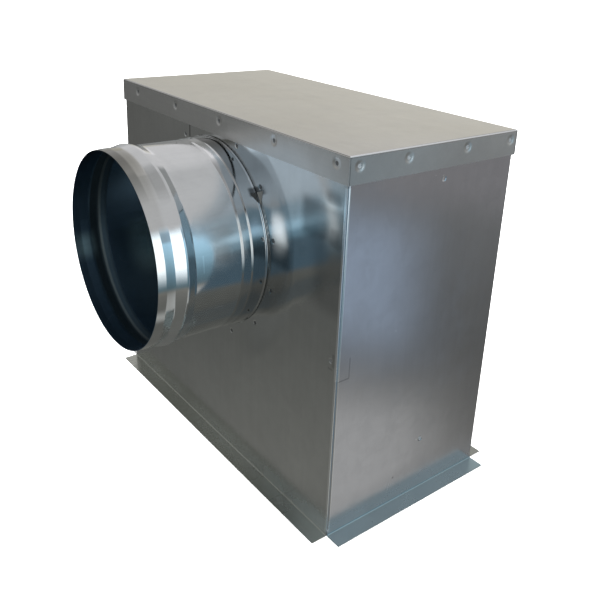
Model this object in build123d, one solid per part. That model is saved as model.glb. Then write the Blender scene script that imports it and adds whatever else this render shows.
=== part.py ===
"""Sheet-steel connection box (air plenum) with a round side spigot.

Frame: millimetres, +Z up. The origin is the centre of the open neck, in the plane of the
flange's underside. +X runs along the long side of the box and the spigot points along -Y.
"""
from build123d import *
import os
from math import cos, radians, sin

# ---- driving dimensions -------------------------------------------------------------------
SHEET = 0.8              # galvanised sheet of the walls
BEND = 1.2               # inside radius of every folded edge but the lid's
BOX_LENGTH = 418.0       # over the end walls, along X
BOX_WIDTH = 211.0        # over the long walls, along Y
BOX_HEIGHT = 380.0       # underside of the flange to the top of the lid
FLANGE_WIDTH = 17.0      # how far the bottom flange stands out from a wall

SEAM_SETBACK = 1.0       # a long wall's cut edge stops this far short of the corner
RETURN_WIDTH = 18.0      # end wall's folded lip inside each long wall
RETURN_START = 6.0       # height where that lip starts, above the flange's bend

LID_SHEET = 1.0
LID_LIP = 25.0           # height of the lid's turned-down lips
LID_GAP = 0.5            # clearance between a wall and a lip, and the fold's inside radius
LID_SLIT = 0.4           # open corner between two lips

SPIGOT_Z = 250.5         # height of the spigot's axis
SPIGOT_REACH = 115.5     # wall to rim
SPIGOT_SHEET = 0.7
SPIGOT_R = 99.6          # straight outside radius, for a 200 mm duct
RIM_R = 98.9             # lead-in at the rim
BEAD_R = 101.9           # crest of the stop bead
BELL_R = 100.5           # the tube opens slightly towards the wall
FOOT_R = 101.4           # crest of the small bead that bears on the wall
COLLAR_R = 117.0         # edge of the collar turned out behind the wall
HOLE_MARGIN = 0.5        # the wall's hole round the tube

# the spigot's profile, as distances from the wall's outer face
FOOT_BEAD = (0.4, 1.1, 1.7, 2.8)         # start, crest, end of crest, end
SHOULDER = (17.0, 19.0, 27.0, 29.5)      # where the bell eases in to the straight tube
SHOULDER_DROP = (0.1, 0.45, 0.6)         # fall in radius from the bell along the shoulder
STOP_BEAD = (78.5, 86.0, 88.5, 98.0)     # start, crest, end of crest, end
LEAD_IN_START = 107.5
COLLAR_CORNER = 0.5      # outside radius where the collar turns out
FOOT_CURVE = 0.7
ROLLED_CURVE = 4.0       # easing along the shoulder and the stop bead
CREST_CURVE = 8.0        # easing into the stop bead and the lead-in

NUGGET_R = 2.0           # spot weld
DIMPLE_R = 6.2           # disc of the lip that is pressed in round a lid weld
DIMPLE_SLOPE = (2.8, 5.2)   # radii between which its straight slope would run
DIMPLE_CURVE = 6.0       # bend radius that softens the slope at both ends
ELECTRODE_R = 3.0        # shallow electrode print round every other weld
ELECTRODE_DEPTH = 0.25

LONG_LID_WELDS = (-171.0, -78.5, 11.5, 106.0, 194.5)  # along X
END_LID_WELDS = (-95.5, -39.5, 35.5, 97.5)            # along Y
LID_WELD_DROP = 9.5      # below the top of the lid
CORNER_WELD_INSET = 9.0  # in from the corner, at mid height
COLLAR_WELD_R = 109.5
COLLAR_WELD_COUNT = 13
COLLAR_WELD_START = 12.0  # degrees above +X

SEAM_GAP_ANGLE = 39.0    # where the rolled tube's seam meets the wall
SEAM_GAP_DEPTH = 7.5
SEAM_GAP_WIDTH = 14.0
SEAM_GAP_LIFT = 0.3      # the gap starts just clear of the wall

LUG_SHEET = 1.5          # lugs inside the end walls, which take the grille's screws
LUG_WIDTH = 44.0
LUG_REACH = 20.0
LUG_Z = 50.0             # underside of the lug's shelf
LUG_RISE = 26.0
LUG_HOLE_R = 2.25
LUG_HOLE_INSET = 12.0    # from the end wall's inner face
LUG_WELD_Y = 15.5
LUG_WELD_Z = 63.0
UPPER_PRINT_Y = 9.5      # shallow print near the top of each end wall
UPPER_PRINT_Z = 344.5

# ---- derived ------------------------------------------------------------------------------
half_l = BOX_LENGTH / 2
half_w = BOX_WIDTH / 2
wall_top = BOX_HEIGHT - LID_SHEET
mid_height = BOX_HEIGHT / 2
lid_weld_z = BOX_HEIGHT - LID_WELD_DROP
on_base = (Align.CENTER, Align.CENTER, Align.MIN)


# ---- sheet-metal helpers ------------------------------------------------------------------
def offset_path(path, distance):
    """Shift a polyline to its left by distance, mitred at the corners."""
    steps = [(b - a).normalized() for a, b in zip(path, path[1:])]
    shifted = []
    for point, before, after in zip(path, steps[:1] + steps, steps + steps[-1:]):
        left = Vector(-before.Y, before.X)
        next_left = Vector(-after.Y, after.X)
        shifted.append(point + (left + next_left) * (distance / (1 + left.dot(next_left))))
    return shifted


def sheet_face(points, thickness, radii):
    """Section of a bent sheet. The points run along one face, and the sheet lies on its left."""
    path = [Vector(*p) for p in points]
    other = offset_path(path, thickness)
    other_radii = []
    for before, corner, after, radius in zip(path, path[1:], path[2:], radii):
        turns_left = (corner - before).cross(after - corner).Z > 0
        other_radii.append(radius - thickness if turns_left else radius + thickness)
    near = FilletPolyline(*path, radius=radii)
    far = FilletPolyline(*other, radius=other_radii)
    ends = [Line(path[0], other[0]), Line(path[-1], other[-1])]
    return make_face(near.edges() + far.edges() + ends)


def along_x(section, length):
    """Stand a section drawn as (y, z) upright and extrude it both ways along X."""
    return extrude(Plane.YZ * section, length / 2, both=True)


def along_y(section, length):
    """Stand a section drawn as (x, z) upright and extrude it both ways along Y."""
    return extrude(Plane.XZ * section, length / 2, both=True)


def plug(start, direction, radius, length):
    """A cylinder from start along direction."""
    return Plane(origin=start, z_dir=direction) * Cylinder(radius, length, align=on_base)


def taper(start, direction, start_r, end_r, length):
    """A cone frustum from start along direction."""
    return Plane(origin=start, z_dir=direction) * Cone(start_r, end_r, length, align=on_base)


# ---- spot welds: (point on the wall's outer face, outward normal) --------------------------
def lid_welds():
    """Lid lips to the walls behind them."""
    spots = []
    for side in (-1, 1):
        spots += [(Vector(x, side * half_w, lid_weld_z), Vector(0, side, 0))
                  for x in LONG_LID_WELDS]
        spots += [(Vector(side * half_l, y, lid_weld_z), Vector(side, 0, 0))
                  for y in END_LID_WELDS]
    return spots


def corner_welds():
    """Long walls to the end walls' return lips, at mid height."""
    return [(Vector(sx * (half_l - CORNER_WELD_INSET), sy * half_w, mid_height), Vector(0, sy, 0))
            for sx in (-1, 1) for sy in (-1, 1)]


def collar_welds():
    """Front wall to the spigot's collar."""
    step = 360 / COLLAR_WELD_COUNT
    angles = [radians(COLLAR_WELD_START - step * i) for i in range(COLLAR_WELD_COUNT)]
    return [(Vector(COLLAR_WELD_R * cos(a), -half_w, SPIGOT_Z + COLLAR_WELD_R * sin(a)),
             Vector(0, -1, 0)) for a in angles]


def lug_welds():
    """End walls to the lugs behind them."""
    return [(Vector(side * half_l, LUG_WELD_Y, LUG_WELD_Z), Vector(side, 0, 0))
            for side in (-1, 1)]


def through_return_lip(point):
    """True where a weld on a long wall also passes through an end wall's return lip."""
    return abs(point.X) > half_l - RETURN_WIDTH and abs(point.Y) > half_w - SHEET


def weld_holes(spots, depth):
    """Cutters for the places that the weld nuggets fill."""
    return [plug(p, -n, NUGGET_R, depth) for p, n in spots]


def electrode_prints(spots):
    """Cutters for the shallow prints that the electrodes leave on the outer face."""
    return [taper(p, -n, ELECTRODE_R, NUGGET_R, ELECTRODE_DEPTH) for p, n in spots]


def nuggets(spots, depth):
    """The welds themselves: each joins the sheets from just under the outer face."""
    return [plug(p - n * ELECTRODE_DEPTH, -n, NUGGET_R, depth - ELECTRODE_DEPTH)
            for p, n in spots]


# ---- walls --------------------------------------------------------------------------------
def long_wall():
    """Flat long wall on the -Y side, with its bottom flange turned out."""
    section = sheet_face(
        [(-half_w, wall_top), (-half_w, SHEET), (-half_w - FLANGE_WIDTH, SHEET)], SHEET, [BEND])
    return along_x(section, BOX_LENGTH - 2 * SEAM_SETBACK)


def front_panel():
    """Long wall with the hole that the spigot passes through."""
    spots = corner_welds() + collar_welds()
    inside = Vector(0, SHEET - half_w, SPIGOT_Z)
    opening = plug(inside, Vector(0, -1, 0), BELL_R + HOLE_MARGIN, SHEET)
    cutters = weld_holes(lid_welds() + spots, SHEET) + electrode_prints(spots)
    return long_wall() - opening - cutters


def back_panel():
    """Plain long wall opposite the spigot."""
    wall = mirror(long_wall(), about=Plane.XZ)
    return wall - weld_holes(lid_welds() + corner_welds(), SHEET) - electrode_prints(corner_welds())


def right_end_panel():
    """End wall with its bottom flange, and a return lip inside each long wall."""
    width = BOX_WIDTH - 2 * SHEET
    foot = sheet_face(
        [(half_l + FLANGE_WIDTH, SHEET), (half_l, SHEET), (half_l, RETURN_START)], SHEET, [BEND])
    lip_edge = half_l - RETURN_WIDTH
    tray = sheet_face(
        [(lip_edge, -width / 2), (half_l, -width / 2), (half_l, width / 2), (lip_edge, width / 2)],
        SHEET, [BEND + SHEET, BEND + SHEET])
    panel = along_y(foot, width)
    panel += Pos(0, 0, RETURN_START) * extrude(tray, wall_top - RETURN_START)
    upper_print = (Vector(half_l, UPPER_PRINT_Y, UPPER_PRINT_Z), Vector(1, 0, 0))
    through_lips = [spot for spot in lid_welds() + corner_welds() if through_return_lip(spot[0])]
    through_face = [spot for spot in lid_welds() + lug_welds() if spot[1].X > 0]
    panel -= weld_holes(through_lips, 2 * SHEET) + weld_holes(through_face, SHEET)
    return panel - electrode_prints([spot for spot in lug_welds() if spot[1].X > 0] + [upper_print])


def left_end_panel():
    """The other end wall."""
    return mirror(right_end_panel(), about=Plane.YZ)


# ---- lid ----------------------------------------------------------------------------------
def rounded_block(length, width, top, radius):
    """Block standing at the lips' lower edge, with its four top edges rounded."""
    height = top - (BOX_HEIGHT - LID_LIP)
    block = Pos(0, 0, top - height / 2) * Box(length, width, height)
    return fillet(block.edges().group_by(Axis.Z)[-1], radius)


def dimple():
    """The lip's own sheet pressed in to the wall, as a disc that faces +Z round the origin."""
    slope_start, slope_end = DIMPLE_SLOPE
    section = sheet_face(
        [(DIMPLE_R, LID_SHEET), (slope_end, LID_SHEET), (slope_start, LID_SHEET - LID_GAP),
         (0, LID_SHEET - LID_GAP)],
        LID_SHEET, [DIMPLE_CURVE, DIMPLE_CURVE])
    disc = revolve(Plane.XZ * section, Axis.Z, 360)
    return disc - plug(Vector(0, 0, -LID_GAP), Vector(0, 0, 1), NUGGET_R, LID_SHEET)


def lid_cap():
    """Shallow cap over the walls, with open corners and a pressed dimple at each weld."""
    inner_l = BOX_LENGTH + 2 * LID_GAP
    inner_w = BOX_WIDTH + 2 * LID_GAP
    outer_l = inner_l + 2 * LID_SHEET
    outer_w = inner_w + 2 * LID_SHEET
    cap = rounded_block(outer_l, outer_w, BOX_HEIGHT, LID_GAP + LID_SHEET)
    cap -= rounded_block(inner_l, inner_w, wall_top, LID_GAP)
    slit = Box(LID_LIP / 2, LID_SLIT, LID_LIP)
    slit_z = BOX_HEIGHT - LID_GAP - LID_SHEET - LID_LIP / 2
    cap -= [Pos(sx * inner_l / 2, sy * (inner_w - LID_SLIT) / 2, slit_z) * slit
            for sx in (-1, 1) for sy in (-1, 1)]
    spots = [(p + n * LID_GAP, n) for p, n in lid_welds()]
    cap -= [plug(p, n, DIMPLE_R, LID_SHEET) for p, n in spots]
    cap += [Plane(origin=p, z_dir=n) * dimple() for p, n in spots]
    return cap


# ---- spigot -------------------------------------------------------------------------------
def spigot():
    """Rolled tube with a stop bead near the rim, a foot bead and a collar behind the wall."""
    ease_in, slope, ease_out = [BELL_R - drop for drop in SHOULDER_DROP]
    outline = [                                   # outer face: (radius, distance from the wall)
        (COLLAR_R, -SHEET),
        (BELL_R, -SHEET),
        (BELL_R, FOOT_BEAD[0]),
        (FOOT_R, FOOT_BEAD[1]),
        (FOOT_R, FOOT_BEAD[2]),
        (BELL_R, FOOT_BEAD[3]),
        (ease_in, SHOULDER[0]),
        (slope, SHOULDER[1]),
        (ease_out, SHOULDER[2]),
        (SPIGOT_R, SHOULDER[3]),
        (SPIGOT_R, STOP_BEAD[0]),
        (BEAD_R, STOP_BEAD[1]),
        (BEAD_R, STOP_BEAD[2]),
        (SPIGOT_R, STOP_BEAD[3]),
        (SPIGOT_R, LEAD_IN_START),
        (RIM_R, SPIGOT_REACH),
    ]
    radii = [COLLAR_CORNER] + [FOOT_CURVE] * 4 + [ROLLED_CURVE] * 4
    radii += [CREST_CURVE, ROLLED_CURVE, ROLLED_CURVE, CREST_CURVE, CREST_CURVE]
    tube = revolve(sheet_face(outline, SPIGOT_SHEET, radii), Axis.Y, 360)
    tube = Pos(0, -half_w, SPIGOT_Z) * Rot(0, 0, 180) * tube
    a = radians(SEAM_GAP_ANGLE)
    seam_foot = Plane(
        origin=(BELL_R * cos(a), -half_w - SEAM_GAP_LIFT, SPIGOT_Z + BELL_R * sin(a)),
        x_dir=(sin(a), 0, -cos(a)), z_dir=(cos(a), 0, sin(a)))
    gap = seam_foot * Polygon((0, 0), (SEAM_GAP_WIDTH, 0), (0, -SEAM_GAP_DEPTH), align=None)
    tube -= extrude(gap, FOOT_R - RIM_R, both=True)
    return tube - weld_holes(collar_welds(), 2 * SHEET)


# ---- fixing lugs --------------------------------------------------------------------------
def right_fixing_lug():
    """Folded lug on the end wall's inner face. Its shelf takes a screw of the grille."""
    back = half_l - SHEET
    section = sheet_face(
        [(back - LUG_REACH, LUG_Z), (back, LUG_Z), (back, LUG_Z + LUG_RISE)],
        LUG_SHEET, [BEND + LUG_SHEET])
    hole_base = Vector(back - LUG_HOLE_INSET, 0, LUG_Z)
    hole = plug(hole_base, Vector(0, 0, 1), LUG_HOLE_R, LUG_SHEET)
    return along_y(section, LUG_WIDTH) - hole - weld_holes(lug_welds(), SHEET + LUG_SHEET)


def left_fixing_lug():
    """The lug inside the other end wall."""
    return mirror(right_fixing_lug(), about=Plane.YZ)


# ---- weld groups --------------------------------------------------------------------------
def lid_spot_welds():
    """Each passes through the dimple's floor and the wall, and the return lip near a corner."""
    welds = []
    for point, normal in lid_welds():
        sheets = LID_SHEET + (2 * SHEET if through_return_lip(point) else SHEET)
        welds += nuggets([(point + normal * LID_SHEET, normal)], sheets)
    return welds


def corner_spot_welds():
    """Long walls to return lips."""
    return nuggets(corner_welds(), 2 * SHEET)


def collar_spot_welds():
    """Front wall to collar."""
    return nuggets(collar_welds(), SHEET + SPIGOT_SHEET)


def lug_spot_welds():
    """End walls to lugs."""
    return nuggets(lug_welds(), SHEET + LUG_SHEET)


# ---- every separate piece, one file each --------------------------------------------------
PIECES = [front_panel, back_panel, left_end_panel, right_end_panel, lid_cap, spigot,
          left_fixing_lug, right_fixing_lug]
WELD_GROUPS = [lid_spot_welds, corner_spot_welds, collar_spot_welds, lug_spot_welds]

os.makedirs("parts", exist_ok=True)
for make in PIECES:
    export_step(make(), f"parts/{make.__name__}.step")
for make in WELD_GROUPS:
    export_step(Compound(children=make()), f"parts/{make.__name__}.step")
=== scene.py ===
"""Galvanised sheet-steel connection box with a round side spigot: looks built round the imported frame."""
import math

import bpy
from mathutils import Matrix, Vector


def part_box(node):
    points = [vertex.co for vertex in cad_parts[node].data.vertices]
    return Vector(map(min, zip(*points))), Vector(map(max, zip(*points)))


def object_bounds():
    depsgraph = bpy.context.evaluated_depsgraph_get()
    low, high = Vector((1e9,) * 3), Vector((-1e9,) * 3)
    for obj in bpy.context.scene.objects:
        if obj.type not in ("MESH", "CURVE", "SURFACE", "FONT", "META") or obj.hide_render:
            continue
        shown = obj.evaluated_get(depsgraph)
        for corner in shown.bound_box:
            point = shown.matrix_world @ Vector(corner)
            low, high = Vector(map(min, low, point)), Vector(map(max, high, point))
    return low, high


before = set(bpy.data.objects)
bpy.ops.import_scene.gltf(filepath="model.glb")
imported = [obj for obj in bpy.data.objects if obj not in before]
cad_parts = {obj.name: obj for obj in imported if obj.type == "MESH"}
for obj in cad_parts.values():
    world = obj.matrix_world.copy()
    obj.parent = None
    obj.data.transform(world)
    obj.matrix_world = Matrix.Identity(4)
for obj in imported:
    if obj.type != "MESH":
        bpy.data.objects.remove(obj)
cad_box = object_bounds()

# ---- places worked out from the frame, in metres -------------------------------------------
FLANGE = 0.017                                    # width of the bottom flange
FRONT_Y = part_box("front_panel")[0].y + FLANGE     # outer face of the front wall
END_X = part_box("right_end_panel")[1].x - FLANGE   # outer face of the right end wall
spigot_low, spigot_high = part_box("spigot")
AXIS_Z = ((spigot_low + spigot_high) / 2).z       # height of the spigot's axis
LID_TOP = cad_box[1].z
LID_FOLD_Z = LID_TOP - 0.0015                     # about where a lip's fold begins
JUST_OFF = 0.0002                                 # a mark's centre stands this far off its wall
ON_FRONT = FRONT_Y - JUST_OFF
ON_RIGHT = END_X + JUST_OFF


# ---- small node helpers --------------------------------------------------------------------
class Nodes:
    """A node tree with short calls for the nodes that these materials use."""

    def __init__(self, tree):
        self.tree = tree

    def add(self, kind, **settings):
        node = self.tree.nodes.new(kind)
        for name, value in settings.items():
            setattr(node, name, value)
        return node

    def feed(self, socket, value):
        """Link a socket, or set its number."""
        if isinstance(value, bpy.types.NodeSocket):
            self.tree.links.new(value, socket)
        elif value is not None:
            socket.default_value = value

    def math(self, operation, a, b=None):
        node = self.add("ShaderNodeMath", operation=operation)
        for socket, value in zip(node.inputs, (a, b)):
            self.feed(socket, value)
        return node.outputs[0]

    def times(self, first, *others):
        """Product."""
        for value in others:
            first = self.math("MULTIPLY", first, value)
        return first

    def plus(self, first, *others):
        """Sum."""
        for value in others:
            first = self.math("ADD", first, value)
        return first

    def fade(self, value, amount):
        """Value times (1 - amount)."""
        return self.times(value, self.math("SUBTRACT", 1.0, amount))

    def hypot(self, a, b):
        return self.math("SQRT", self.plus(self.times(a, a), self.times(b, b)))

    def dot(self, a, b):
        node = self.add("ShaderNodeVectorMath", operation="DOT_PRODUCT")
        self.feed(node.inputs[0], a)
        self.feed(node.inputs[1], b)
        return node.outputs["Value"]

    def split(self, vector):
        node = self.add("ShaderNodeSeparateXYZ")
        self.feed(node.inputs[0], vector)
        return node.outputs

    def join(self, x, y, z):
        node = self.add("ShaderNodeCombineXYZ")
        for socket, value in zip(node.inputs, (x, y, z)):
            self.feed(socket, value)
        return node.outputs[0]

    def ramp(self, value, low, high, to_low=0.0, to_high=1.0, shape="LINEAR"):
        """Straight ramp, clamped, as value goes from low to high."""
        node = self.add("ShaderNodeMapRange", interpolation_type=shape)
        for socket, number in zip(node.inputs, (value, low, high, to_low, to_high)):
            self.feed(socket, number)
        return node.outputs[0]

    def step(self, value, low, high, to_low=0.0, to_high=1.0):
        """Smooth step as value goes from low to high."""
        return self.ramp(value, low, high, to_low, to_high, "SMOOTHSTEP")

    def window(self, value, low, high, soft, peak=1.0):
        """peak between low and high, falling to 0 over soft outside them."""
        rise = self.step(value, low - soft, low)
        fall = self.step(value, high, high + soft, peak, 0.0)
        return self.times(rise, fall)

    def blend(self, factor, a, b):
        """Plain number between a and b."""
        node = self.add("ShaderNodeMix", data_type="FLOAT")
        for name, value in (("Factor", factor), ("A", a), ("B", b)):
            self.feed(node.inputs[name], value)
        return node.outputs["Result"]

    def mix(self, factor, a, b, blend="MIX"):
        """Colour between a and b."""
        node = self.add("ShaderNodeMix", data_type="RGBA", blend_type=blend)
        for name, value in (("Factor", factor), ("A", a), ("B", b)):
            self.feed(node.inputs[name], value)
        return [socket for socket in node.outputs if socket.enabled][0]

    def noise(self, vector, scale, detail=2.0, rough=0.5, stretch=(1, 1, 1), shift=0.0, warp=0.0):
        """Noise over a place in metres. stretch multiplies the place: a small number gives a long grain."""
        place = self.add("ShaderNodeMapping")
        self.feed(place.inputs["Vector"], vector)
        place.inputs["Scale"].default_value = stretch
        place.inputs["Location"].default_value = (shift, shift * 1.7, shift * 0.6)
        node = self.add("ShaderNodeTexNoise")
        self.feed(node.inputs["Vector"], place.outputs[0])
        node.inputs["Scale"].default_value = scale
        node.inputs["Detail"].default_value = detail
        node.inputs["Roughness"].default_value = rough
        node.inputs["Distortion"].default_value = warp
        return node.outputs["Fac"]

    def cells(self, vector, scale):
        """A random number for each crystal of a cell pattern."""
        node = self.add("ShaderNodeTexVoronoi", feature="F1")
        self.feed(node.inputs["Vector"], vector)
        node.inputs["Scale"].default_value = scale
        return self.split(node.outputs["Color"])[0]

    def bump(self, height, distance):
        node = self.add("ShaderNodeBump")
        node.inputs["Strength"].default_value = 1.0
        node.inputs["Distance"].default_value = distance
        self.feed(node.inputs["Height"], height)
        return node.outputs[0]


def rgb(red, green, blue):
    return (red, green, blue, 1.0)


def grey(level):
    return rgb(level, level, level)


def new_material(name):
    """An empty node material: the material, its Nodes and its Principled shader."""
    material = bpy.data.materials.new(name)
    material.use_nodes = True
    return material, Nodes(material.node_tree), material.node_tree.nodes["Principled BSDF"]


# ---- marks on the sheet --------------------------------------------------------------------
# Each mark is (centre, half size, softness, strength), in metres along x, y and z. A half size
# of None leaves a mark without an end along that axis. The marks said to stand for light are
# tones set to match one view, and not marks on the metal.
FRONT_DARK = (
    # the first five stand for light: dimmer beside the corner, and under the foot's glow
    ((0.1920, ON_FRONT, 0.2750), (0.0120, None, 0.0300), 0.0200, 0.28),
    ((0.1850, ON_FRONT, 0.3145), (0.0280, None, 0.0115), 0.0120, 0.50),
    ((0.1960, ON_FRONT, 0.3060), (0.0030, None, 0.0040), 0.0150, 0.64),
    ((0.1930, ON_FRONT, 0.3390), (0.0050, None, 0.0010), 0.0100, 0.50),
    ((0.1150, ON_FRONT, 0.2630), (0.0150, None, 0.0060), 0.0110, 0.50),
    ((-0.0500, ON_FRONT, 0.3485), (0.0006, None, 0.0065), 0.0008, 0.75),      # a fitter's pen line
    ((0.2035, ON_FRONT, 0.1910), (0.0010, None, 0.0060), 0.0015, 0.20),       # two faint dark lines that meet near the corner
    ((0.2000, ON_FRONT, 0.1815), (0.0030, None, 0.0005), 0.0008, 0.20),
)
FRONT_BRIGHT = (
    ((0.1140, ON_FRONT, 0.2910), (0.0040, None, 0.0030), 0.0150, 0.90),       # stands for light: a glow
    ((END_X, FRONT_Y, 0.2620), (0.0030, 0.0012, 0.0900), 0.0006, 0.9),        # painted highlight on the fold at the corner
    ((END_X, FRONT_Y, 0.0900), (0.0030, 0.0012, 0.0850), 0.0006, 0.5),
)
RIGHT_DARK = (
    ((ON_RIGHT, -0.0905, 0.1820), (None, 0.0004, 0.0100), 0.0007, 0.24),      # painted shade along two edges of a small tab at the corner
    ((ON_RIGHT, -0.0970, 0.1715), (None, 0.0065, 0.0004), 0.0007, 0.30),
    ((ON_RIGHT, -0.0200, 0.0300), (None, 0.0007, 0.0007), 0.0008, 0.40),      # speck
)
RIGHT_BRIGHT = (
    ((ON_RIGHT, 0.0085, 0.3450), (None, 0.0008, 0.0026), 0.0008, 1.0),        # nick in the zinc
    ((ON_RIGHT, -0.0020, 0.3490), (None, 0.0005, 0.0002), 0.0006, 0.5),       # small scratches
    ((ON_RIGHT, -0.0350, 0.2030), (None, 0.0009, 0.0002), 0.0006, 0.5),
    ((ON_RIGHT, 0.0100, 0.0640), (None, 0.0004, 0.0004), 0.0006, 0.7),
    ((END_X, FRONT_Y, 0.2620), (0.0012, 0.0030, 0.0900), 0.0008, 0.9),        # painted highlight on the fold at the corner
    ((END_X, FRONT_Y, 0.0900), (0.0012, 0.0030, 0.0850), 0.0008, 0.5),
)
LID_BRIGHT = (                        # stands for light: the fold over the right end
    ((END_X + 0.0013, 0.0000, LID_TOP - 0.0005), (0.0005, 0.1060, 0.0005), 0.0006, 1.0),
)
TUBE_BRIGHT = (
    # the first two stand for light: the upper edges of the shoulder and the stop bead
    ((0.0170, FRONT_Y - 0.0230, 0.3490), (0.0250, 0.0030, 0.0060), 0.0020, 0.8),
    ((0.0000, FRONT_Y - 0.0820, 0.3510), (0.0200, 0.0030, 0.0060), 0.0040, 0.9),
    ((0.0917, FRONT_Y - 0.0500, 0.2116), (0.0050, 0.0038, 0.0003), 0.0006, 0.7),    # scratches from the rolls
    ((0.0985, FRONT_Y - 0.0400, 0.2660), (0.0050, 0.0005, 0.0030), 0.0006, 0.5),
    ((0.0990, FRONT_Y - 0.0330, 0.2560), (0.0050, 0.0012, 0.0004), 0.0006, 0.6),
    ((0.0990, FRONT_Y - 0.0700, 0.2620), (0.0050, 0.0004, 0.0080), 0.0006, 0.4),
)
TUBE_GLOW = (                         # stands for light: faint glows inside the tube
    ((-0.0900, FRONT_Y - 0.0280, 0.2130), (0.0250, 0.0060, 0.0060), 0.0300, 0.95),
    ((-0.0950, FRONT_Y - 0.1060, 0.2232), (0.0250, 0.0010, 0.0020), 0.0170, 0.70),
)


def marks(n, place, spots):
    """Strength of the strongest mark at each place."""
    total = None
    for centre, half, soft, strength in spots:
        dot = None
        for value, middle, reach in zip(n.split(place), centre, half):
            if reach is None:
                continue
            part = n.window(n.math("SUBTRACT", value, middle), -reach, reach, soft)
            dot = part if dot is None else n.times(dot, part)
        dot = n.times(dot, strength)
        total = dot if total is None else n.math("MAXIMUM", total, dot)
    return total


# ---- zones of the spigot -------------------------------------------------------------------
# Along it, as metres from the wall: (low, high) of a step, or (low, high, softness) of a window.
FOOT_END = (0.0165, 0.0190)
SHOULDER_END = (0.0285, 0.0300)
STRAIGHT_PART = (0.0320, 0.0720, 0.0080)
BEAD_SPAN = (0.0740, 0.1020, 0.0060)
BEAD_INSIDE = (0.0790, 0.0950, 0.0030)
BEAD_CREST_INSIDE = (0.0845, 0.0860, 0.0015)
RIM_START = (0.0960, 0.1000)
RIM_MIDDLE = (0.0990, 0.1040)
RIM_TIP = (0.1060, 0.1090)
SEAM_REACH = (0.0000, 0.0060, 0.0040)
# Round it, as metres of arc up from the +X side.
ARC_R = 0.1
FOOT_TOP = (0.0950, 0.2200, 0.0350)
SHOULDER_TOP = (0.1180, 0.2200, 0.0100)
SHOULDER_DIP = (0.0550, 0.1000, 0.0120)
SEAM_WIDTH = (0.0660, 0.0720, 0.0030)
RIM_TOP = (0.1400, 0.1750, 0.0800)
TIP_TOP = (0.1350, 0.1950, 0.0600)
UPPER_SIDE = (0.0450, 0.1300, 0.0250)
UNDER_SIDE = (-0.1100, -0.0580, 0.0150)

# The tones and colours here are painted light and shade, set to match the light in one view.
FOOT_TONE, FOOT_TOP_DROP = 0.66, 0.24             # parts of the tube's full tone
SHOULDER_TONE, SHOULDER_TOP_LIFT, SHOULDER_DIP_DROP = 0.80, 0.20, 0.14
SEAM_DROP, RIM_TOP_DROP, RIM_DROP, TIP_DROP = 0.75, 0.45, 0.08, 0.42
UPPER_DULLNESS, BEAD_DULLNESS = 0.14, 0.20        # added roughness outside
INSIDE_DULLNESS, BEAD_INSIDE_DULLNESS = 0.30, 0.50
FACE_SOFT = 0.004                                 # softness between the inner face and the outer

# painted colours of the tube: a beige reflection on the rim, shade inside that is darker at the bead with a
# lighter line at its crest, and glows
RIM_PAINTED_REFLECTION = rgb(0.66, 0.64, 0.52)
INSIDE_PAINTED_SHADE = rgb(0.12, 0.20, 0.28)
BEAD_INSIDE_PAINTED_SHADE = rgb(0.060, 0.085, 0.100)
BEAD_CREST_PAINTED_HIGHLIGHT = rgb(0.13, 0.15, 0.15)
PAINTED_GLOW = rgb(0.62, 0.92, 1.00)


def round_tube(n, x, z):
    """Arc length round the spigot and distance from its axis."""
    up = n.math("SUBTRACT", z, AXIS_Z)
    return n.times(n.math("ARCTAN2", up, x), ARC_R), n.hypot(x, up)


def tube_shade(n, arc, along):
    """Painted shade on the tube, and the rim's strength: darker at the foot and shoulder, beside the seam's
    gap and on top of the rim.
    """
    foot = n.math("SUBTRACT", FOOT_TONE, n.window(arc, *FOOT_TOP, FOOT_TOP_DROP))
    shoulder = n.math("SUBTRACT",
                      n.plus(n.window(arc, *SHOULDER_TOP, SHOULDER_TOP_LIFT), SHOULDER_TONE),
                      n.times(n.window(arc, *SHOULDER_DIP), SHOULDER_DIP_DROP))
    shade = n.blend(n.step(along, *FOOT_END), foot, shoulder)
    shade = n.blend(n.step(along, *SHOULDER_END), shade, 1.0)
    shade = n.fade(shade, n.times(n.window(arc, *SEAM_WIDTH), n.window(along, *SEAM_REACH), SEAM_DROP))
    rim = n.plus(n.times(n.step(along, *RIM_START), n.window(arc, *RIM_TOP), RIM_TOP_DROP),
                 n.times(n.step(along, *RIM_MIDDLE), RIM_DROP))
    tip = n.times(n.step(along, *RIM_TIP), n.window(arc, *TIP_TOP, TIP_DROP))
    return n.fade(n.fade(shade, rim), tip), rim


def tube_outside(n):
    """1 on the tube's outer face, 0 on its inner one."""
    geometry = n.add("ShaderNodeNewGeometry")
    nx, _, nz = n.split(geometry.outputs["Normal"])
    px, _, pz = n.split(geometry.outputs["Position"])
    outward = n.plus(n.times(nx, px), n.times(nz, n.math("SUBTRACT", pz, AXIS_Z)))
    return n.step(outward, -FACE_SOFT, FACE_SOFT)


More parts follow.
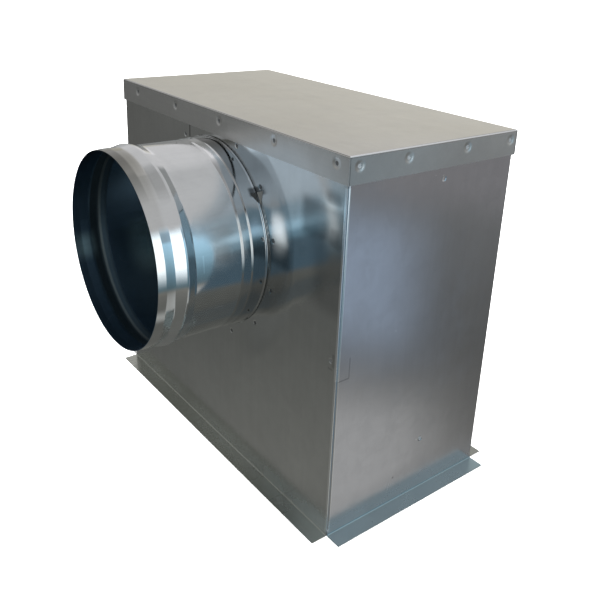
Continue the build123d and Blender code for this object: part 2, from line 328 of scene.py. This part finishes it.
def tube_finish(n, place, colour):
    """The spigot's (tone, colour, added roughness): painted shade in the tone, a painted reflection in the
    rim's colour, and painted shade and glows inside.
    """
    x, y, z = n.split(place)
    arc, _ = round_tube(n, x, z)
    along = n.math("SUBTRACT", FRONT_Y, y)
    shade, rim = tube_shade(n, arc, along)
    outside = tube_outside(n)
    bead = n.window(along, *BEAD_INSIDE)
    inner = n.mix(bead, INSIDE_PAINTED_SHADE, BEAD_INSIDE_PAINTED_SHADE)
    inner = n.mix(n.window(along, *BEAD_CREST_INSIDE), inner, BEAD_CREST_PAINTED_HIGHLIGHT)
    inner = n.mix(marks(n, place, TUBE_GLOW), inner, PAINTED_GLOW)
    hand_worked = n.plus(
        n.times(n.window(arc, *UPPER_SIDE), n.window(along, *STRAIGHT_PART, UPPER_DULLNESS)),
        n.times(n.window(arc, *UNDER_SIDE), n.window(along, *BEAD_SPAN, BEAD_DULLNESS)))
    dull = n.blend(outside, n.ramp(bead, 0.0, 1.0, INSIDE_DULLNESS, BEAD_INSIDE_DULLNESS), hand_worked)
    return shade, n.mix(outside, inner, n.mix(rim, colour, RIM_PAINTED_REFLECTION)), dull


# ---- galvanised sheet ----------------------------------------------------------------------
ROLLED = {                            # how the place is stretched along the sheet's grain
    "z": (1.0, 1.0, 0.03),
    "x": (0.03, 1.0, 1.0),
    "y": (1.0, 0.03, 1.0),
}
CLOUD = dict(scale=7.0, detail=3.0, rough=0.55)
SMUDGE = dict(scale=38.0, detail=4.0, rough=0.6, warp=0.6)
FINE_GRAIN = dict(scale=420.0, detail=2.0, rough=0.6)
BROAD_GRAIN = dict(scale=60.0, detail=3.0, rough=0.6)
HAIR = dict(scale=30.0, detail=1.0, rough=0.4, stretch=(1.0, 0.35, 0.35), warp=0.2)
SCRATCH_PATCH = dict(scale=16.0, detail=2.0, rough=0.5)
RIPPLE = dict(scale=9.0, detail=1.0, rough=0.4)
SPANGLE_SCALE = 95.0
MOST = (0.3, 0.7)                     # most of a noise lies between these
NEARLY_ALL = (0.25, 0.75)
UPPER_HALF = (0.45, 0.75)
HAIR_LINE = (0.4997, 0.5003, 0.0008)  # a scratch runs where the stretched noise crosses this level

RIPPLE_HEIGHT = 0.0009
GRAIN_HEIGHT = 0.000004
SMUDGE_HEIGHT = 0.00001
FOLDED_OUT = (0.0012, 0.0035)         # heights between which the flange's fold turns up the wall
LOW_WALL = (0.0020, 0.0500)           # the flange's added roughness fades up the wall over these heights
LOW_WALL_DULLNESS = 0.16
LEAN_X, LEAN_Y = 0.2, 0.1             # half length and half width that the lean runs over

DISH_DEPTH = 0.0023                   # how far the clamped collar draws the wall in round the tube
DISH_EDGE = (0.102, 0.144)            # radii
DISH_START = (0.040, 0.105)           # the dish shows on the tube's right side only
CORNER_DULLNESS = (0.150, 0.185, 0.0, 0.05)       # step along x that ends in the added roughness
GLOW_DULLNESS = (0.107, 0.130, 0.010, 0.05)       # window along x: low, high, softness, the same

# worn clean zinc, and the colour of the painted highlights
CLEAN_ZINC_AND_HIGHLIGHT = rgb(0.95, 0.96, 0.97)
SCRATCHED_ZINC = rgb(0.85, 0.86, 0.86)


def scratches(n, place, shift, scuff):
    """Thin lines where a stretched noise crosses a level, in a few patches."""
    line = n.window(n.noise(place, shift=shift + 9.0, **HAIR), *HAIR_LINE)
    patch = n.step(n.noise(place, shift=shift + 12.0, **SCRATCH_PATCH), 0.60, 0.70)
    return n.times(line, patch, scuff)


def galvanised(name, base, rough, grain, shift, wave=1.0, streak=1.0, scuff=0.6, lean=(0.0, 0.0),
               dark=(), bright=(), flange=None, lips=0.0, dish=False, ring=False):
    """Bright zinc over cold-rolled sheet: faint spangle, rolling streaks, smudges and fine scratches.

    wave, streak and scuff are the strengths of ripples, streaks and scratches. lean is how much
    the tone changes towards +x and +y, a painted light. dark and bright are marks, some of them
    painted shade and painted highlights. flange is the bottom flange's colour, painted light,
    and lips the added roughness of the lid's lips. dish is for the wall that the tube stands on,
    and ring for the tube, whose tone and colours carry painted light and shade.
    """
    material, n, shader = new_material(name)
    place = n.add("ShaderNodeTexCoord").outputs["Object"]
    x, y, z = n.split(place)
    cloud = n.noise(place, shift=shift, **CLOUD)
    smudge = n.noise(place, shift=shift + 3.0, **SMUDGE)
    fine = n.noise(place, stretch=ROLLED[grain], shift=shift, **FINE_GRAIN)
    broad = n.noise(place, stretch=ROLLED[grain], shift=shift + 5.0, **BROAD_GRAIN)
    scratch = scratches(n, place, shift, scuff)

    tone = n.times(
        n.ramp(cloud, *NEARLY_ALL, 0.95, 1.04),
        n.ramp(broad, *MOST, 1.0 - 0.05 * streak, 1.0 + 0.04 * streak),
        n.ramp(fine, *MOST, 1.0 - 0.04 * streak, 1.0 + 0.03 * streak),
        n.ramp(n.cells(place, SPANGLE_SCALE), 0.0, 1.0, 0.985, 1.015),
        n.ramp(smudge, *UPPER_HALF, 1.0, 0.96),
        n.ramp(x, -LEAN_X, LEAN_X, 1.0 - lean[0], 1.0 + lean[0]),
        n.ramp(y, -LEAN_Y, LEAN_Y, 1.0 - lean[1], 1.0 + lean[1]))
    # dark marks darken the tone: some are real marks, and some are painted shade
    if dark:
        tone = n.fade(tone, marks(n, place, dark))
    warm = rgb(*[c * 0.98 for c in base])
    cool = rgb(base[0], base[1] * 1.01, base[2] * 1.02)
    colour = n.mix(cloud, warm, cool)
    gloss = n.plus(
        rough,
        n.ramp(cloud, *MOST, -0.015, 0.015),
        n.ramp(smudge, *UPPER_HALF, 0.0, 0.04),
        n.ramp(fine, *MOST, -0.015 * streak, 0.015 * streak),
        n.times(scratch, 0.2))
    ripple = n.noise(place, shift=shift + 20.0, **RIPPLE)
    height = n.plus(
        n.times(ripple, RIPPLE_HEIGHT * wave),
        n.times(fine, GRAIN_HEIGHT * streak),
        n.times(smudge, SMUDGE_HEIGHT * wave))

    # the flange's colour is painted light
    if flange:
        colour = n.mix(n.step(z, *FOLDED_OUT, 1.0, 0.0), colour, rgb(*flange))
        gloss = n.plus(gloss, n.step(z, *LOW_WALL, LOW_WALL_DULLNESS, 0.0))
    if lips:
        gloss = n.plus(gloss, n.step(z, LID_FOLD_Z - 0.0010, LID_FOLD_Z, lips, 0.0))
    if dish:
        gloss = n.plus(gloss, n.step(x, *CORNER_DULLNESS), n.window(x, *GLOW_DULLNESS))
        _, radius = round_tube(n, x, z)
        drawn_in = n.times(n.step(radius, *DISH_EDGE, -1.0, 0.0), n.step(x, *DISH_START))
        height = n.plus(height, n.times(drawn_in, DISH_DEPTH))
    if ring:
        # the tube's tone carries painted shade, and its colour a painted reflection on the rim and painted
        # shade and glows inside
        shade, colour, dull = tube_finish(n, place, colour)
        tone = n.times(tone, shade)
        gloss = n.plus(gloss, dull)

    lit = n.mix(1.0, colour, n.join(tone, tone, tone), blend="MULTIPLY")
    lit = n.mix(n.times(scratch, 0.5), lit, SCRATCHED_ZINC)
    # bright marks: clean zinc at nicks and scratches, and painted highlights
    if bright:
        lit = n.mix(marks(n, place, bright), lit, CLEAN_ZINC_AND_HIGHLIGHT)
    shader.inputs["Metallic"].default_value = 1.0
    shader.inputs["Base Color"].default_value = rgb(*base)
    n.feed(shader.inputs["Base Color"], lit)
    n.feed(shader.inputs["Roughness"], gloss)
    n.feed(shader.inputs["Normal"], n.bump(height, 1.0))
    return material


def weld_metal(name, heat):
    """Weld nugget, darkened by its heat: 1 is burnt, 0 is clean zinc. The end walls' welds are clean."""
    material, n, shader = new_material(name)
    place = n.add("ShaderNodeTexCoord").outputs["Object"]
    grit = n.noise(place, 900.0, 3.0, 0.6)
    off_middle = n.math("ABSOLUTE", n.split(place)[0])
    on_end_wall = n.step(off_middle, END_X - 0.0012, END_X - 0.0008)
    burnt = n.mix(grit, grey(0.5 - 0.4 * heat), grey(0.6 - 0.26 * heat))
    clean = n.mix(grit, rgb(0.70, 0.70, 0.71), grey(0.9))
    shader.inputs["Metallic"].default_value = 1.0
    n.feed(shader.inputs["Base Color"], n.mix(on_end_wall, burnt, clean))
    n.feed(shader.inputs["Roughness"], n.ramp(grit, *MOST, 0.35, 0.6))
    n.feed(shader.inputs["Normal"], n.bump(grit, 0.0002))
    return material


def dress(node, material):
    """Gives a CAD node its material."""
    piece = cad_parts[node]
    piece.data.materials.clear()
    piece.data.materials.append(material)


def dress_all():
    wall = (0.66, 0.67, 0.66)
    dark_flange = (0.40, 0.41, 0.37)              # stands for the dimmer light on the long walls' flanges
    blue_flange = (0.37, 0.48, 0.51)              # and for the bluer light on the right one
    front = galvanised("front_wall_zinc", wall, 0.10, "z", 1.0, wave=0.4, streak=0.4, scuff=0.3,
                       dark=FRONT_DARK, bright=FRONT_BRIGHT, flange=dark_flange, dish=True)
    back = galvanised("back_wall_zinc", wall, 0.12, "z", 2.0, wave=0.5, streak=0.5, flange=dark_flange)
    right = galvanised("right_wall_zinc", (0.67, 0.66, 0.68), 0.12, "z", 3.0, wave=0.4, streak=0.25,
                       scuff=0.3, dark=RIGHT_DARK, bright=RIGHT_BRIGHT, flange=blue_flange)
    left = galvanised("left_wall_zinc", wall, 0.14, "z", 4.0, wave=0.5, streak=0.5)
    # the lid's lean is painted light: lighter towards its right end and its back
    lid = galvanised("lid_zinc", (0.65, 0.64, 0.62), 0.15, "x", 5.0, wave=0.5, streak=0.4, scuff=0.3,
                     lean=(0.06, 0.10), bright=LID_BRIGHT, lips=0.16)
    tube = galvanised("tube_zinc", (0.70, 0.71, 0.71), 0.08, "y", 6.0, wave=0.12, streak=0.45,
                      bright=TUBE_BRIGHT, ring=True)
    lug = galvanised("lug_zinc", (0.60, 0.61, 0.61), 0.32, "y", 7.0, wave=0.3)
    burnt_weld = weld_metal("spot_weld", 1.0)
    pale_weld = weld_metal("corner_weld", 0.3)
    for node, material, slot in (
            ("front_panel", front, "galvanised_wall"),
            ("back_panel", back, "galvanised_wall"),
            ("right_end_panel", right, "galvanised_wall"),
            ("left_end_panel", left, "galvanised_wall"),
            ("lid_cap", lid, "galvanised_lid"),
            ("spigot", tube, "galvanised_tube"),
            ("left_fixing_lug", lug, "galvanised_lug"),
            ("right_fixing_lug", lug, "galvanised_lug"),
            ("lid_spot_welds", burnt_weld, "spot_weld"),
            ("collar_spot_welds", burnt_weld, "spot_weld"),
            ("lug_spot_welds", burnt_weld, "spot_weld"),
            ("corner_spot_welds", pale_weld, "spot_weld")):
        dress(node, material)


# ---- floor and studio ----------------------------------------------------------------------
def floor():
    """Plain pale studio floor, seen by the eye and not mirrored in the metal."""
    size = 6.0
    below = 0.0004                                # gap under the flanges
    mesh = bpy.data.meshes.new("studio_floor")
    corners = [(-size, -size, 0), (size, -size, 0), (size, size, 0), (-size, size, 0)]
    mesh.from_pydata(corners, [], [(0, 1, 2, 3)])
    plate = bpy.data.objects.new("studio_floor", mesh)
    plate.location.z = cad_box[0].z - below
    bpy.context.scene.collection.objects.link(plate)
    material, n, shader = new_material("studio_floor")
    cloud = n.noise(n.add("ShaderNodeTexCoord").outputs["Object"], 1.5, 2.0, 0.5)
    n.feed(shader.inputs["Base Color"], n.mix(cloud, grey(0.93), rgb(0.95, 0.95, 0.945)))
    shader.inputs["Roughness"].default_value = 0.9
    plate.data.materials.append(material)
    plate.visible_glossy = False


HEIGHTS = (                           # the room by height in degrees: matt ground, dim skirting, pale sky
    (-90.0, (0.150, 0.152, 0.140)),
    (-60.0, (0.145, 0.147, 0.138)),
    (-45.0, (0.170, 0.172, 0.160)),
    (-38.0, (0.195, 0.195, 0.182)),
    (-27.0, (0.115, 0.118, 0.112)),
    (-15.0, (0.20, 0.21, 0.21)),
    (0.0, (0.40, 0.41, 0.41)),
    (15.0, (0.60, 0.60, 0.61)),
    (60.0, (0.62, 0.62, 0.63)),
    (80.0, (0.42, 0.42, 0.42)),
)
# Soft-edged areas of the room, in degrees: bearing of the middle (anticlockwise from +X), half
# width, softness, low edge, high edge, and the softness of those two. Then a colour.
TINTS = (                             # these multiply what is there
    ((-20.0, 50.0, 14.0, -27.0, 22.0, 6.0, 14.0), (0.60, 1.00, 1.30)),        # blue round the window
    ((5.0, 26.0, 8.0, -30.0, 22.0, 8.0, 14.0), (1.55, 1.50, 1.45)),           # its bright fringe
)
PATCHES = (                           # and these cover it
    ((-83.0, 48.0, 9.0, 36.0, 75.0, 8.0, 10.0), (0.67, 0.78, 0.89)),          # ceiling on the tube's side
    ((-53.0, 27.0, 5.0, 15.0, 27.0, 4.0, 5.0), (0.29, 0.43, 0.54)),           # its shaded edge
    ((-44.0, 16.0, 6.0, -36.0, -8.0, 6.0, 6.0), (0.105, 0.170, 0.225)),       # blue shade under a sill
    ((-35.0, 8.0, 6.0, 6.0, 11.0, 4.0, 4.0), (0.60, 0.92, 1.15)),             # edge of a far window
    ((-88.0, 20.0, 12.0, -60.0, -46.0, 8.0, 5.0), (0.120, 0.134, 0.138)),     # shade on the floor
    ((-4.0, 21.0, 4.0, 2.0, 20.0, 32.0, 16.0), (1.9, 2.0, 2.05)),             # the window itself
    ((31.0, 6.0, 5.0, 20.0, 26.0, 3.0, 5.0), (0.36, 0.50, 0.61)),             # blue-grey beside the window
    ((40.0, 7.0, 7.5, -60.0, -35.5, 8.0, 6.0), (0.45, 0.46, 0.45)),           # pale floor to the right
    ((51.0, 8.0, 5.0, -16.0, -10.0, 3.0, 5.0), (0.25, 0.25, 0.255)),          # dim and low, to the right
    ((40.5, 4.0, 6.5, -26.0, -21.0, 6.0, 4.0), (0.33, 0.41, 0.51)),           # glow in the end wall
    ((143.0, 20.0, 7.0, 18.0, 62.0, 5.0, 8.0), (0.73, 0.72, 0.73)),           # bright sky behind
    ((104.0, 16.0, 8.0, 29.0, 38.0, 7.0, 8.0), (0.32, 0.33, 0.33)),           # dim gap beside the sky
    ((141.0, 16.0, 6.0, 4.0, 13.0, 5.0, 5.0), (0.62, 0.60, 0.54)),            # warm haze over the lid
    ((-156.0, 12.0, 7.0, 25.0, 42.0, 6.0, 8.0), (0.25, 0.25, 0.23)),          # dim, seen in the flange
    ((-160.0, 5.5, 15.0, -20.0, -6.0, 5.0, 6.0), (0.13, 0.13, 0.125)),        # dim and low behind
)
WHITE_BACKDROP = grey(3.0)


def studio_world():
    """White all round to the eye and to matt surfaces. Bright metal sees a room: pale sky above,
    a darker ground, and a tall bright window beyond the right end of the box."""
    world = bpy.data.worlds.new("studio")
    bpy.context.scene.world = world
    world.use_nodes = True
    n = Nodes(world.node_tree)
    way = n.add("ShaderNodeTexCoord").outputs["Generated"]
    height = n.math("ARCSINE", n.split(way)[2])

    def bearing(centre):
        """Angle in radians round from centre degrees, anticlockwise from +X."""
        c, s = math.cos(math.radians(centre)), math.sin(math.radians(centre))
        return n.math("ARCTAN2", n.dot(way, (-s, c, 0.0)), n.dot(way, (c, s, 0.0)))

    def ladder(rungs):
        """Colour by height, from rungs of (degrees, colour)."""
        node = n.add("ShaderNodeValToRGB")
        n.feed(node.inputs["Fac"], n.ramp(height, math.radians(-90.0), math.radians(90.0)))
        stops = node.color_ramp.elements
        while len(stops) < len(rungs):
            stops.new(0.5)
        for stop, (degrees, colour) in zip(stops, rungs):
            stop.position = (degrees + 90.0) / 180.0
            stop.color = rgb(*colour)
        return node.outputs["Color"]

    def area(centre, *edges):
        """1 in a soft-edged area of the room, 0 outside it."""
        half, soft, low, high, low_soft, high_soft = [math.radians(edge) for edge in edges]
        across = n.window(bearing(centre), -half, half, soft)
        rise = n.step(height, low - low_soft, low)
        fall = n.step(height, high, high + high_soft, 1.0, 0.0)
        return n.times(across, n.times(rise, fall))

    room = ladder(HEIGHTS)
    for place, colour in TINTS:
        room = n.mix(area(*place), room, n.mix(1.0, room, rgb(*colour), blend="MULTIPLY"))
    for place, colour in PATCHES:
        room = n.mix(area(*place), room, rgb(*colour))

    path = n.add("ShaderNodeLightPath")
    plain = n.math("MAXIMUM", path.outputs["Is Camera Ray"], path.outputs["Is Diffuse Ray"])
    backdrop = world.node_tree.nodes["Background"]
    n.feed(backdrop.inputs["Color"], n.mix(plain, room, WHITE_BACKDROP))


def studio_light():
    """One large overhead softbox, for the soft shadow under the flange."""
    lamp = bpy.data.lights.new("softbox", "AREA")
    lamp.shape = "RECTANGLE"
    lamp.size = 2.4
    lamp.size_y = 1.8
    lamp.energy = 14.0
    light = bpy.data.objects.new("softbox", lamp)
    light.location = (-0.6, -0.9, 2.6)
    aim = Vector((0, 0, 0.1))
    light.rotation_euler = (aim - light.location).to_track_quat("-Z", "Y").to_euler()
    light.visible_glossy = False
    bpy.context.scene.collection.objects.link(light)


def studio_camera():
    """Stands to the right of the spigot, a little above the lid, and leans a touch."""
    azimuth, elevation, lean = math.radians(51.16), math.radians(19.75), math.radians(2.62)
    aim = Vector((0.0129, 0.0154, 0.2396))
    distance = 0.8436
    back = Vector((math.sin(azimuth) * math.cos(elevation),
                   -math.cos(azimuth) * math.cos(elevation), math.sin(elevation)))
    level = (-back).cross(Vector((0, 0, 1))).normalized()
    upright = level.cross(-back)
    right = math.cos(lean) * level + math.sin(lean) * upright
    up = math.cos(lean) * upright - math.sin(lean) * level
    lens = bpy.data.cameras.new("camera")
    lens.sensor_width = 36.0
    lens.lens = 43.93
    lens.shift_x = -0.0182
    lens.shift_y = -0.1280
    camera = bpy.data.objects.new("camera", lens)
    turn = Matrix((right, up, back)).transposed().to_4x4()
    camera.matrix_world = Matrix.Translation(aim + back * distance) @ turn
    bpy.context.scene.collection.objects.link(camera)
    bpy.context.scene.camera = camera


dress_all()
floor()
studio_world()
studio_light()
studio_camera()
bpy.context.scene.view_settings.view_transform = "Standard"
